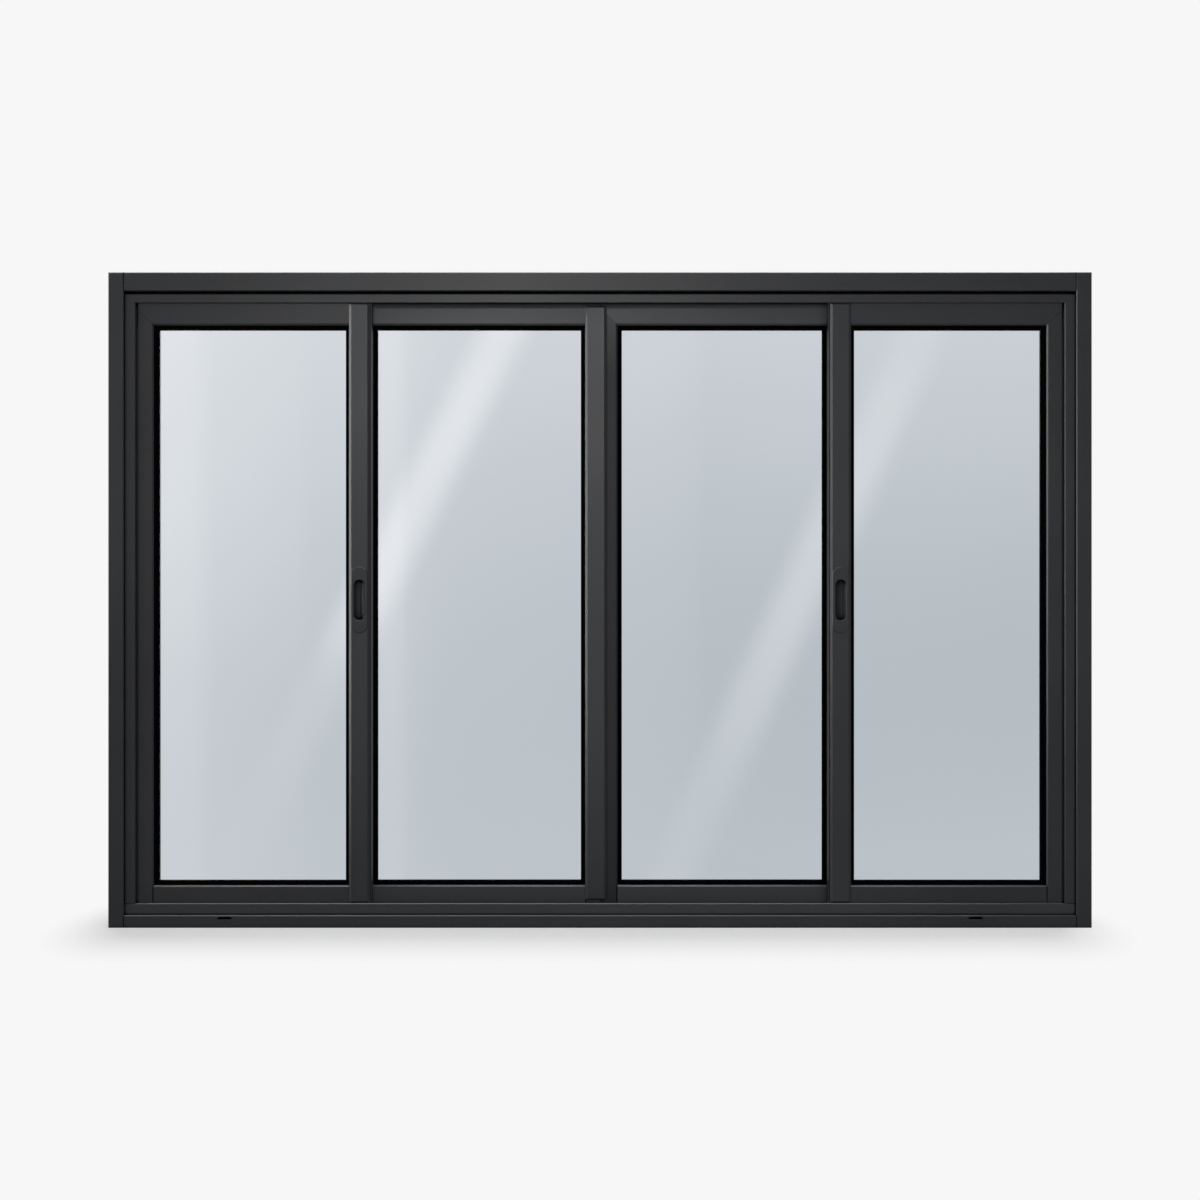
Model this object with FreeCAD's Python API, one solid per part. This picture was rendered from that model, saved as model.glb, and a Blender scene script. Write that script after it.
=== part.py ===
import FreeCAD, Part
import os
from FreeCAD import Vector

# Horizontal sliding window with four glazed sashes in two tracks, in powder-coated aluminium.
# Millimetres. X runs to the right, the outdoor face looks along -Y and Z is up. The origin is
# the centre of the sill's underside.

# Outer frame
WIDTH = 1800.0
HEIGHT = 1200.0
JAMB_FACE = 28.2
HEAD_FACE = 34.3
SILL_FACE = 23.0
FRAME_WALL = 2.0
JAMB_WEB_SETBACK = 14.0
EDGE_BREAK = 1.5

# Inner band: the channel liner that carries the tracks, set back inside the outer frame
BAND_STEP = 7.0
BAND_WALL = 2.2
BAND_SIDE_FACE = 19.8
BAND_HEAD_FACE = 15.1
BAND_SILL_FACE = 21.0
HEAD_REVEAL = 5.2
SIDE_REVEAL = 0.5
REVEAL_DEPTH = 16.0

# Tracks, guides and the fins between them
TRACK_WALL = 2.4
TRACK_HEIGHT = 9.0
BEAD_R = 2.0
FRONT_GUIDE_DROP = 8.5
REAR_GUIDE_DROP = 19.5
DIVIDER_WALL = 2.0
SIDE_DIVIDER_LENGTH = 10.0
SILL_DAM_HEIGHT = 8.0

# Sash extrusions
SASH_DEPTH = 25.0
SASH_WALL = 2.0
SASH_BEVEL = 3.0
SASH_FRONT_GAP = 6.8
SASH_PASS_GAP = 6.0
SASH_BACK_GAP = 2.8
SASH_SIDE_GAP = 3.0
FRONT_SASH_TOP_COVER = 10.0
REAR_SASH_TOP_COVER = 3.0
SASH_SKIRT_GAP = 5.0
FRONT_TOP_RAIL_FACE = 40.3
REAR_TOP_RAIL_FACE = 35.8
FRONT_BOTTOM_RAIL_HEIGHT = 45.3
REAR_BOTTOM_RAIL_HEIGHT = 41.1
CHANNEL_HEIGHT = 26.0
GUIDE_SLOT_WIDTH = 7.0
GUIDE_SLOT_DEPTH = 14.0
GLAZING_GROOVE_DEPTH = 6.0
GLAZING_GROOVE_WIDTH = 12.0
TONGUE_LENGTH = 11.0
TONGUE_WALL = 2.4
OUTER_STILE_FACE = 28.0
INTERLOCK_STILE_FACE = 40.0
REAR_OUTER_STILE_FACE = 30.0
MEETING_STILE_FACE = 29.0

# Sash plan: where the sashes end and how they overlap
INTERLOCK_EDGE = 420.0
REAR_SASH_EDGE = 451.0
MEETING_X = 2.5
MEETING_GAP = 2.0

# Proud covers on the interlock stiles and on the meeting stile
COVER_FACE = 38.5
COVER_INSET = 2.5
COVER_PROUD = 6.0
COVER_WALL = 2.0
COVER_BEVEL_WIDTH = 4.5
COVER_BEVEL_DEPTH = 3.0
COVER_END_BEVEL = 2.0
COVER_END_GAP = 1.2
MEETING_COVER_LEFT = 30.0
MEETING_COVER_RIGHT = 9.5
MEETING_COVER_PROUD = 5.0
MEETING_COVER_GAP = 0.5

# Labyrinth fins where a front sash passes a rear one
FIN_WALL = 2.0
FIN_END_GAP = 2.0
FIN_PITCH = 4.0

# Glass and gaskets
GLASS_THICKNESS = 6.0
GASKET_WIDE = 9.5
GASKET_NARROW = 8.0
GASKET_COVERED = 8.0
GASKET_RECESS = 6.0
GASKET_BITE = 5.0
GASKET_STEP = 1.2
GASKET_STEP_WIDTH = 4.0

# Rollers
ROLLER_R = 9.0
ROLLER_INSET = 60.0
ROLLER_SEAT_GAP = 0.3
CARRIAGE_LENGTH = 44.0
CARRIAGE_CAP = 2.5
CARRIAGE_CHEEK = 3.0
CARRIAGE_CHEEK_DROP = 14.0

# Finger pulls
PULL_Z = 600.0
PULL_WIDTH = 31.0
PULL_HEIGHT = 122.0
PULL_PROUD = 1.5
PULL_BEVEL = 1.2
PULL_SLOT_BEVEL = 1.0
PULL_TROUGH_R = 13.0
PULL_SLOT_WIDTH = 19.0
PULL_SLOT_HEIGHT = 74.0
PULL_CUP_WALL = 1.2

# Holes
WEEP_X = 687.0
WEEP_Z = 16.8
WEEP_LENGTH = 26.0
WEEP_HEIGHT = 7.5
DRAIN_X = 560.0
DRAIN_LENGTH = 30.0
DRAIN_WIDTH = 5.0
FIXING_R = 3.25
FIXING_PITCH_Z = 300.0
FIXING_PITCH_X = 1200.0
FIXINGS_SIDE = 4
FIXINGS_HEAD = 2
FIXING_OFFSET_Y = 9.0
CUT_PAST = 1.0

# Sizes worked out from the ones above
LINER_DEPTH = 2 * BAND_WALL + SASH_FRONT_GAP + 2 * SASH_DEPTH + SASH_PASS_GAP + SASH_BACK_GAP
DEPTH = LINER_DEPTH + 2 * BAND_STEP
FRONT = -DEPTH / 2
BACK = DEPTH / 2
HALF = WIDTH / 2
JAMB_X = HALF - JAMB_FACE
BAND_FRONT = FRONT + BAND_STEP
BAND_BACK = BACK - BAND_STEP
TRACK_FRONT_Y = BAND_FRONT + BAND_WALL + SASH_FRONT_GAP + SASH_DEPTH / 2
TRACK_REAR_Y = TRACK_FRONT_Y + SASH_DEPTH + SASH_PASS_GAP
BAND_X = JAMB_X - BAND_SIDE_FACE
HEAD_Z = HEIGHT - HEAD_FACE
BAND_TOP_Z = HEAD_Z - HEAD_REVEAL
BAND_HEAD_Z = BAND_TOP_Z - BAND_HEAD_FACE
SILL_BAND_Z = SILL_FACE + BAND_SILL_FACE
SILL_WEB_Z = SILL_FACE + BAND_WALL
HEAD_WEB_Z = BAND_TOP_Z - BAND_WALL
TRACK_TOP_Z = SILL_WEB_Z + TRACK_HEIGHT + BEAD_R
MIDDLE_Y = (TRACK_FRONT_Y + TRACK_REAR_Y) / 2
SASH_EDGE = BAND_X - SASH_SIDE_GAP
FRONT_SASH_TOP_Z = BAND_HEAD_Z + FRONT_SASH_TOP_COVER
REAR_SASH_TOP_Z = BAND_HEAD_Z + REAR_SASH_TOP_COVER
SASH_BOTTOM_Z = SILL_WEB_Z + SASH_SKIRT_GAP
FRONT_RAIL_UNDER_Z = BAND_HEAD_Z - FRONT_TOP_RAIL_FACE
REAR_RAIL_UNDER_Z = BAND_HEAD_Z - REAR_TOP_RAIL_FACE
FRONT_RAIL_OVER_Z = SASH_BOTTOM_Z + FRONT_BOTTOM_RAIL_HEIGHT
REAR_RAIL_OVER_Z = SASH_BOTTOM_Z + REAR_BOTTOM_RAIL_HEIGHT
COVER_TOP_Z = BAND_HEAD_Z - COVER_END_GAP
FIN_REACH = SASH_PASS_GAP - FIN_END_GAP
COVER_BOTTOM_Z = SILL_BAND_Z + COVER_END_GAP
REACH = 2 * WIDTH
SMALL = 0.01


def box(x0, x1, y0, y1, z0, z1):
    return Part.makeBox(x1 - x0, y1 - y0, z1 - z0, Vector(x0, y0, z0))


def fused(shapes):
    whole = shapes[0]
    if len(shapes) > 1:
        whole = whole.multiFuse(shapes[1:])
    return whole.removeSplitter()


def prism(points, direction):
    """A solid from a closed polygon, extruded along a vector."""
    face = Part.Face(Part.makePolygon(points + [points[0]]))
    return face.extrude(direction)


def hole_along(axis, radius, x, y, z, length):
    """A cylinder centred on a point, for a hole along an axis."""
    start = Vector(x, y, z) - axis * (length / 2)
    return Part.makeCylinder(radius, length, start, axis)


def mitre_tool(outer, inner):
    """A large solid that holds everything over a corner's mitre line."""
    run = Vector(inner[0] - outer[0], 0, inner[1] - outer[1])
    run.normalize()
    corner = Vector(outer[0], -DEPTH, outer[1])
    start = corner - run * REACH
    end = corner + run * REACH
    up = Vector(-run.z, 0, run.x)
    if up.z < 0:
        up = up * -1
    return prism([start, end, end + up * REACH, start + up * REACH], Vector(0, 2 * DEPTH, 0))


def mirrored(shape):
    return shape.mirror(Vector(0, 0, 0), Vector(1, 0, 0))


def wedge(corner, along_a, along_b, run, size):
    """A wedge that bevels an edge: two legs from the corner, extruded along the edge."""
    return prism([corner, corner + along_a * size, corner + along_b * size], run)


def eased(bar):
    """Breaks the edges round a bar's front and back faces."""
    rim = [
        edge for edge in bar.Edges
        if edge.BoundBox.YMax < FRONT + SMALL or edge.BoundBox.YMin > BACK - SMALL
    ]
    return bar.makeChamfer(EDGE_BREAK, rim)


def fixing_offsets(count, pitch):
    first = -(count - 1) / 2
    return [pitch * (first + i) for i in range(count)]


# Outer frame

def side_fixings():
    """Screw holes through the left jamb and the liner against it."""
    heights = [HEIGHT / 2 + offset for offset in fixing_offsets(FIXINGS_SIDE, FIXING_PITCH_Z)]
    axis = Vector(1, 0, 0)
    y = MIDDLE_Y + FIXING_OFFSET_Y
    return [hole_along(axis, FIXING_R, -JAMB_X, y, z, 4 * JAMB_FACE) for z in heights]


def frame_jamb():
    """The left jamb: a hollow extrusion from sill to head, open at its ends."""
    wall = FRAME_WALL
    body = eased(box(-HALF, -JAMB_X, FRONT, BACK, 0, HEIGHT))
    front_web = MIDDLE_Y - JAMB_WEB_SETBACK
    chambers = [
        box(-HALF + wall, -JAMB_X - wall, FRONT + wall, front_web - wall / 2, 0, HEIGHT),
        box(-HALF + wall, -JAMB_X - wall, front_web + wall / 2, BACK - wall, 0, HEIGHT),
    ]
    return body.cut(chambers + side_fixings())


def hollow_bar(z0, z1):
    """A hollow head or sill between the jambs."""
    wall = FRAME_WALL
    body = eased(box(-JAMB_X, JAMB_X, FRONT, BACK, z0, z1))
    return body.cut(box(-JAMB_X, JAMB_X, FRONT + wall, BACK - wall, z0 + wall, z1 - wall))


def frame_head():
    return hollow_bar(HEAD_Z, HEIGHT).cut(head_fixings())


def head_fixings():
    """Screw holes up through the liner and the head."""
    axis = Vector(0, 0, 1)
    places = fixing_offsets(FIXINGS_HEAD, FIXING_PITCH_X)
    return [hole_along(axis, FIXING_R, x, MIDDLE_Y, HEAD_Z, 4 * HEAD_FACE) for x in places]


def obround_along_y(x, z, length, height, y0, y1):
    """A slot with round ends that runs along X, cut through from y0 to y1."""
    r = height / 2
    half = length / 2 - r
    middle = box(x - half, x + half, y0, y1, z - r, z + r)
    ends = [Part.makeCylinder(r, y1 - y0, Vector(x + s * half, y0, z), Vector(0, 1, 0)) for s in (-1, 1)]
    return fused([middle] + ends)


def upright_obround(x, z, width, height, y0, y1):
    """A slot with round ends that runs along Z, from y0 to y1."""
    r = width / 2
    half = height / 2 - r
    middle = box(x - r, x + r, y0, y1, z - half, z + half)
    ends = [Part.makeCylinder(r, y1 - y0, Vector(x, y0, z + s * half), Vector(0, 1, 0)) for s in (-1, 1)]
    return fused([middle] + ends)


def drain_slots():
    """Punched slots that let water out of the track channels into the hollow sill."""
    slots = []
    half_x = DRAIN_LENGTH / 2
    half_y = DRAIN_WIDTH / 2
    z0 = SILL_FACE - 2 * FRAME_WALL
    z1 = SILL_WEB_Z + BAND_WALL
    for x in (-DRAIN_X, DRAIN_X):
        for y in ((BAND_FRONT + TRACK_FRONT_Y) / 2, (MIDDLE_Y + TRACK_REAR_Y) / 2):
            slots.append(box(x - half_x, x + half_x, y - half_y, y + half_y, z0, z1))
    return slots


def frame_sill():
    """The hollow sill, whose nose stands forward of the track and drains by two slots."""
    bar = hollow_bar(0, SILL_FACE)
    inner = FRONT + 2 * FRAME_WALL
    slots = [
        obround_along_y(x, WEEP_Z, WEEP_LENGTH, WEEP_HEIGHT, FRONT - CUT_PAST, inner)
        for x in (-WEEP_X, WEEP_X)
    ]
    return bar.cut(slots + drain_slots())


# Inner band

def band_corner():
    """The (x, z) ends of the band's left mitre line, which runs down at 45 degrees."""
    outer_x = -JAMB_X + SIDE_REVEAL
    return (outer_x, BAND_TOP_Z), (outer_x + BAND_HEAD_FACE, BAND_HEAD_Z)


def side_flange(front):
    """One flange of the side liner: a lip with a leg that steps back to the jamb."""
    top = BAND_TOP_Z + BAND_SIDE_FACE
    wall = BAND_WALL
    leg_x = -JAMB_X + SIDE_REVEAL
    lip = box(leg_x, -BAND_X, BAND_FRONT, BAND_FRONT + wall, SILL_BAND_Z, top)
    leg = box(leg_x, leg_x + wall, BAND_FRONT, BAND_FRONT + REVEAL_DEPTH + wall, SILL_BAND_Z, top)
    link_y = BAND_FRONT + REVEAL_DEPTH
    link = box(-JAMB_X, leg_x + wall, link_y, link_y + wall, SILL_BAND_Z, top)
    edge = Vector(-BAND_X, BAND_FRONT, SILL_BAND_Z)
    ease = wedge(edge, Vector(-1, 0, 0), Vector(0, 1, 0), Vector(0, 0, top), EDGE_BREAK)
    flange = fused([lip, leg, link]).cut(ease)
    if front:
        return flange
    return flange.mirror(Vector(0, 0, 0), Vector(0, 1, 0))


def band_side():
    """The left liner: a channel that the sashes close into, mitred to the head band."""
    top = BAND_TOP_Z + BAND_SIDE_FACE
    web_front = BAND_FRONT + REVEAL_DEPTH
    web_back = BAND_BACK - REVEAL_DEPTH
    web = box(-JAMB_X, -JAMB_X + BAND_WALL, web_front, web_back, SILL_BAND_Z, top)
    divider = box(
        -JAMB_X, -JAMB_X + BAND_WALL + SIDE_DIVIDER_LENGTH,
        MIDDLE_Y - DIVIDER_WALL / 2, MIDDLE_Y + DIVIDER_WALL / 2, SILL_BAND_Z, top,
    )
    outer, inner = band_corner()
    over_band = box(-HALF, 0, FRONT, BACK, BAND_HEAD_Z, HEIGHT + BAND_SIDE_FACE)
    liner = fused([web, side_flange(True), side_flange(False), divider])
    return liner.cut([mitre_tool(outer, inner).common(over_band)] + side_fixings())


def track_ys():
    return (TRACK_FRONT_Y, TRACK_REAR_Y)


def band_head():
    """The head liner: a channel that opens downwards, with a guide rib for each track."""
    web = box(-JAMB_X, JAMB_X, BAND_FRONT, BAND_BACK, HEAD_WEB_Z, BAND_TOP_Z)
    front = box(-JAMB_X, JAMB_X, BAND_FRONT, BAND_FRONT + BAND_WALL, BAND_HEAD_Z, BAND_TOP_Z)
    back = box(-JAMB_X, JAMB_X, BAND_BACK - BAND_WALL, BAND_BACK, BAND_HEAD_Z, BAND_TOP_Z)
    half = TRACK_WALL / 2
    guides = [
        box(-JAMB_X, JAMB_X, y - half, y + half, HEAD_WEB_Z - drop, HEAD_WEB_Z)
        for y, drop in zip(track_ys(), (FRONT_GUIDE_DROP, REAR_GUIDE_DROP))
    ]
    rib_front = BAND_FRONT + REVEAL_DEPTH
    rib_back = BAND_BACK - REVEAL_DEPTH
    ribs = [
        box(-JAMB_X, JAMB_X, rib_front, rib_front + BAND_WALL, BAND_TOP_Z, HEAD_Z),
        box(-JAMB_X, JAMB_X, rib_back - BAND_WALL, rib_back, BAND_TOP_Z, HEAD_Z),
    ]
    outer, inner = band_corner()
    corner = mitre_tool(outer, inner)
    liner = fused([web, front, back] + guides + ribs)
    return liner.common(corner).common(mirrored(corner)).cut(head_fixings())


def sill_band():
    """The sill liner: an open channel with the two track rails that the rollers run on."""
    web = box(-JAMB_X, JAMB_X, BAND_FRONT, BAND_BACK, SILL_FACE, SILL_WEB_Z)
    front = box(-JAMB_X, JAMB_X, BAND_FRONT, BAND_FRONT + BAND_WALL, SILL_FACE, SILL_BAND_Z)
    back = box(-JAMB_X, JAMB_X, BAND_BACK - BAND_WALL, BAND_BACK, SILL_FACE, SILL_BAND_Z)
    half = DIVIDER_WALL / 2
    dam_top = SILL_WEB_Z + SILL_DAM_HEIGHT
    dam = box(-JAMB_X, JAMB_X, MIDDLE_Y - half, MIDDLE_Y + half, SILL_FACE, dam_top)
    rails = []
    for y in track_ys():
        rail_top = TRACK_TOP_Z - BEAD_R
        half = TRACK_WALL / 2
        rails.append(box(-JAMB_X, JAMB_X, y - half, y + half, SILL_FACE, rail_top))
        start = Vector(-JAMB_X, y, rail_top)
        rails.append(Part.makeCylinder(BEAD_R, 2 * JAMB_X, start, Vector(1, 0, 0)))
    run = Vector(2 * JAMB_X, 0, 0)
    down = Vector(0, 0, -1)
    eases = [
        wedge(Vector(-JAMB_X, y, SILL_BAND_Z), down, Vector(0, inward, 0), run, EDGE_BREAK)
        for y, inward in ((BAND_FRONT, 1), (BAND_BACK, -1))
    ]
    return fused([web, front, back, dam] + rails).cut(drain_slots() + eases)


# Sashes. Each plan holds its track, its rails' glass-side heights, its ends and its faces from
# left to right.

def sash_plans():
    meeting_left = MEETING_X - MEETING_GAP / 2
    meeting_right = MEETING_X + MEETING_GAP / 2
    front = dict(track=TRACK_FRONT_Y, top=FRONT_SASH_TOP_Z, under=FRONT_RAIL_UNDER_Z, over=FRONT_RAIL_OVER_Z)
    rear = dict(track=TRACK_REAR_Y, top=REAR_SASH_TOP_Z, under=REAR_RAIL_UNDER_Z, over=REAR_RAIL_OVER_Z)
    return [
        dict(front, name="sash_1", x0=-SASH_EDGE, x1=-INTERLOCK_EDGE,
             stiles=(OUTER_STILE_FACE, INTERLOCK_STILE_FACE),
             gaskets=(GASKET_WIDE, GASKET_COVERED)),
        dict(rear, name="sash_2", x0=-REAR_SASH_EDGE, x1=meeting_left,
             stiles=(REAR_OUTER_STILE_FACE, MEETING_STILE_FACE),
             gaskets=(GASKET_NARROW, GASKET_NARROW)),
        dict(rear, name="sash_3", x0=meeting_right, x1=REAR_SASH_EDGE,
             stiles=(MEETING_STILE_FACE, REAR_OUTER_STILE_FACE),
             gaskets=(GASKET_NARROW, GASKET_NARROW)),
        dict(front, name="sash_4", x0=INTERLOCK_EDGE, x1=SASH_EDGE,
             stiles=(INTERLOCK_STILE_FACE, OUTER_STILE_FACE),
             gaskets=(GASKET_COVERED, GASKET_WIDE)),
    ]


def sash_depths(plan):
    return plan["track"] - SASH_DEPTH / 2, plan["track"] + SASH_DEPTH / 2


def opening(plan):
    """The sash opening between its stiles."""
    return plan["x0"] + plan["stiles"][0], plan["x1"] - plan["stiles"][1]


def sash_corner(plan, left):
    """The (x, z) ends of a top corner's mitre line, which runs up at 45 degrees."""
    inner_left, inner_right = opening(plan)
    if left:
        inner, outer = inner_left, plan["x0"]
    else:
        inner, outer = inner_right, plan["x1"]
    return (outer, plan["under"] + abs(outer - inner)), (inner, plan["under"])


def guide_slot(plan):
    """The slot along the sash's top that runs on the head guide."""
    half = GUIDE_SLOT_WIDTH / 2
    y = plan["track"]
    return box(-HALF, HALF, y - half, y + half, plan["top"] - GUIDE_SLOT_DEPTH, HEIGHT)


def stile_bevels(plan, x, towards):
    """Wedges for a stile's glass-side edges, front and back."""
    rise = Vector(0, 0, plan["top"] - SASH_BOTTOM_Z)
    wedges = []
    for y, inward in zip(sash_depths(plan), (1, -1)):
        corner = Vector(x, y, SASH_BOTTOM_Z)
        wedges.append(wedge(corner, Vector(towards, 0, 0), Vector(0, inward, 0), rise, SASH_BEVEL))
    return wedges


def rail_bevels(plan, z, towards):
    """Wedges for a rail's glass-side edges, front and back."""
    run = Vector(plan["x1"] - plan["x0"], 0, 0)
    wedges = []
    for y, inward in zip(sash_depths(plan), (1, -1)):
        corner = Vector(plan["x0"], y, z)
        wedges.append(wedge(corner, Vector(0, 0, towards), Vector(0, inward, 0), run, SASH_BEVEL))
    return wedges


def stile(plan, left):
    """A hollow stile, mitred to the top rail and notched over the track at its foot."""
    x0, x1 = plan["x0"], plan["x1"]
    inner_left, inner_right = opening(plan)
    y0, y1 = sash_depths(plan)
    top = plan["top"]
    wall = SASH_WALL
    a, b = (x0, inner_left) if left else (inner_right, x1)
    body = box(a, b, y0, y1, SASH_BOTTOM_Z, top)
    groove_deep = wall + GLAZING_GROOVE_DEPTH
    hollow_a = a + (wall if left else groove_deep)
    hollow_b = b - (groove_deep if left else wall)
    chamber = box(hollow_a, hollow_b, y0 + wall, y1 - wall, SASH_BOTTOM_Z, top)
    y = plan["track"]
    half = GLAZING_GROOVE_WIDTH / 2
    if left:
        groove = box(b - GLAZING_GROOVE_DEPTH, b, y - half, y + half, SASH_BOTTOM_Z, top)
    else:
        groove = box(a, a + GLAZING_GROOVE_DEPTH, y - half, y + half, SASH_BOTTOM_Z, top)
    inset = wall + SASH_BEVEL
    foot = box(a, b, y0 + inset, y1 - inset, SASH_BOTTOM_Z, SASH_BOTTOM_Z + CHANNEL_HEIGHT)
    outer, corner = sash_corner(plan, left)
    bevels = stile_bevels(plan, b if left else a, -1 if left else 1)
    return body.cut([chamber, groove, foot, guide_slot(plan), mitre_tool(outer, corner)] + bevels)


def closing_tongue(plan):
    """The fin on an outer stile that reaches into the side liner."""
    y = plan["track"]
    half = TONGUE_WALL / 2
    z0 = COVER_BOTTOM_Z
    z1 = plan["under"]
    if plan["x0"] < 0:
        return box(plan["x0"] - TONGUE_LENGTH, plan["x0"], y - half, y + half, z0, z1)
    return box(plan["x1"], plan["x1"] + TONGUE_LENGTH, y - half, y + half, z0, z1)


def interlock_fins(plan, at_x):
    """Upright fins on the face that passes the other track, one in front and two behind."""
    y0, y1 = sash_depths(plan)
    if plan["track"] < MIDDLE_Y:
        places, ya, yb = (0,), y1 - SASH_WALL / 2, y1 + FIN_REACH
    else:
        places, ya, yb = (-1, 1), y0 - FIN_REACH, y0 + SASH_WALL / 2
    half = FIN_WALL / 2
    return [
        box(at_x + s * FIN_PITCH - half, at_x + s * FIN_PITCH + half, ya, yb, COVER_BOTTOM_Z, plan["under"])
        for s in places
    ]


def interlock_x(side):
    """Where the fins of a front and a rear sash meet."""
    return side * (INTERLOCK_EDGE + REAR_SASH_EDGE) / 2


def top_rail(plan):
    """The top rail, mitred to both stiles, with a guide slot over and a glazing groove under."""
    x0, x1 = plan["x0"], plan["x1"]
    y0, y1 = sash_depths(plan)
    wall = SASH_WALL
    y = plan["track"]
    half = GLAZING_GROOVE_WIDTH / 2
    under = plan["under"]
    body = box(x0, x1, y0, y1, under, plan["top"])
    groove = box(x0, x1, y - half, y + half, under, under + GLAZING_GROOVE_DEPTH)
    chamber_low = under + GLAZING_GROOVE_DEPTH + wall
    chamber_high = plan["top"] - GUIDE_SLOT_DEPTH - wall
    chamber = box(x0, x1, y0 + wall, y1 - wall, chamber_low, chamber_high)
    rail = body.cut([groove, chamber, guide_slot(plan)] + rail_bevels(plan, under, 1))
    for side in (True, False):
        outer, corner = sash_corner(plan, side)
        rail = rail.common(mitre_tool(outer, corner))
    return rail


def bottom_rail(plan):
    """The bottom rail between the stiles: a channel over the track under a hollow bar."""
    left, right = opening(plan)
    y0, y1 = sash_depths(plan)
    wall = SASH_WALL
    y = plan["track"]
    half = GLAZING_GROOVE_WIDTH / 2
    over = plan["over"]
    body = box(left, right, y0, y1, SASH_BOTTOM_Z, over)
    channel_top = SASH_BOTTOM_Z + CHANNEL_HEIGHT
    channel = box(left, right, y0 + wall, y1 - wall, SASH_BOTTOM_Z, channel_top)
    chamber_high = over - GLAZING_GROOVE_DEPTH - wall
    chamber = box(left, right, y0 + wall, y1 - wall, channel_top + wall, chamber_high)
    groove = box(left, right, y - half, y + half, over - GLAZING_GROOVE_DEPTH, over)
    return body.cut([channel, chamber, groove] + rail_bevels(plan, over, -1))


def glass_light(plan):
    """The glass as it shows: x and z ends inside the gasket."""
    left, right = opening(plan)
    x0 = left + plan["gaskets"][0]
    x1 = right - plan["gaskets"][1]
    return x0, x1, plan["over"] + GASKET_NARROW, plan["under"] - GASKET_NARROW


def glass(plan):
    x0, x1, z0, z1 = glass_light(plan)
    y = plan["track"]
    half = GLASS_THICKNESS / 2
    bite = GASKET_BITE
    return box(x0 - bite, x1 + bite, y - half, y + half, z0 - bite, z1 + bite)


def gasket(plan):
    """The black rubber round the glass: seated in the groove, with a step down to the glass."""
    left, right = opening(plan)
    y0, y1 = sash_depths(plan)
    x0, x1, z0, z1 = glass_light(plan)
    y = plan["track"]
    half = GLAZING_GROOVE_WIDTH / 2
    deep = GLAZING_GROOVE_DEPTH
    over, under = plan["over"], plan["under"]
    front = y0 + GASKET_RECESS
    back = y1 - GASKET_RECESS
    seat = box(left - deep, right + deep, y - half, y + half, over - deep, under + deep)
    ring = box(left, right, front, back, over, under)
    light = box(x0, x1, y0, y1, z0, z1)
    step = GASKET_STEP_WIDTH
    sight = box(x0 - step, x1 + step, y0, front + GASKET_STEP, z0 - step, z1 + step)
    sight_back = box(x0 - step, x1 + step, back - GASKET_STEP, y1, z0 - step, z1 + step)
    return fused([seat, ring]).cut([light, sight, sight_back, glass(plan)])


def rollers(plan):
    """Two carriages up inside the bottom rail's channel, each with a wheel on the track."""
    left, right = opening(plan)
    y0, y1 = sash_depths(plan)
    a = y0 + SASH_WALL
    b = y1 - SASH_WALL
    top = SASH_BOTTOM_Z + CHANNEL_HEIGHT
    wheel_z = TRACK_TOP_Z + ROLLER_SEAT_GAP + ROLLER_R
    half = CARRIAGE_LENGTH / 2
    cheek = CARRIAGE_CHEEK
    carriages = []
    for x in (left + ROLLER_INSET, right - ROLLER_INSET):
        cap = box(x - half, x + half, a, b, top - CARRIAGE_CAP, top)
        cheeks = [
            box(x - half, x + half, a, a + cheek, top - CARRIAGE_CHEEK_DROP, top),
            box(x - half, x + half, b - cheek, b, top - CARRIAGE_CHEEK_DROP, top),
        ]
        start = Vector(x, a + cheek, wheel_z)
        wheel = Part.makeCylinder(ROLLER_R, b - a - 2 * cheek, start, Vector(0, 1, 0))
        carriages.append(fused([cap, wheel] + cheeks))
    return Part.makeCompound(carriages)


# Proud covers and finger pulls

def capped_profile(x0, x1, y0, y1, z0, z1):
    """A cover whose front edges slope back along its sides and at its ends."""
    side = COVER_BEVEL_WIDTH
    depth = COVER_BEVEL_DEPTH
    end = COVER_END_BEVEL
    plan = [
        Vector(x0, y1, z0), Vector(x0, y0 + depth, z0), Vector(x0 + side, y0, z0),
        Vector(x1 - side, y0, z0), Vector(x1, y0 + depth, z0), Vector(x1, y1, z0),
    ]
    rise = [
        Vector(x0, y1, z0), Vector(x0, y0 + end, z0), Vector(x0, y0, z0 + end),
        Vector(x0, y0, z1 - end), Vector(x0, y0 + end, z1), Vector(x0, y1, z1),
    ]
    return prism(plan, Vector(0, 0, z1 - z0)).common(prism(rise, Vector(x1 - x0, 0, 0)))


def interlock_cover(plan):
    """The proud cover over a front sash's interlock stile, open at the back."""
    y0 = sash_depths(plan)[0]
    front = y0 - COVER_PROUD
    if plan["x0"] < 0:
        b = plan["x1"] - COVER_INSET
        a = b - COVER_FACE
    else:
        a = plan["x0"] + COVER_INSET
        b = a + COVER_FACE
    cover = capped_profile(a, b, front, y0, COVER_BOTTOM_Z, COVER_TOP_Z)
    wall = COVER_WALL
    hollow = box(a + wall, b - wall, front + wall, y0, COVER_BOTTOM_Z + wall, COVER_TOP_Z - wall)
    x = (a + b) / 2
    cup_width = PULL_SLOT_WIDTH + 2 * PULL_CUP_WALL
    cup_height = PULL_SLOT_HEIGHT + 2 * PULL_CUP_WALL
    return cover.cut([hollow, upright_obround(x, PULL_Z, cup_width, cup_height, front - CUT_PAST, y0)])


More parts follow.
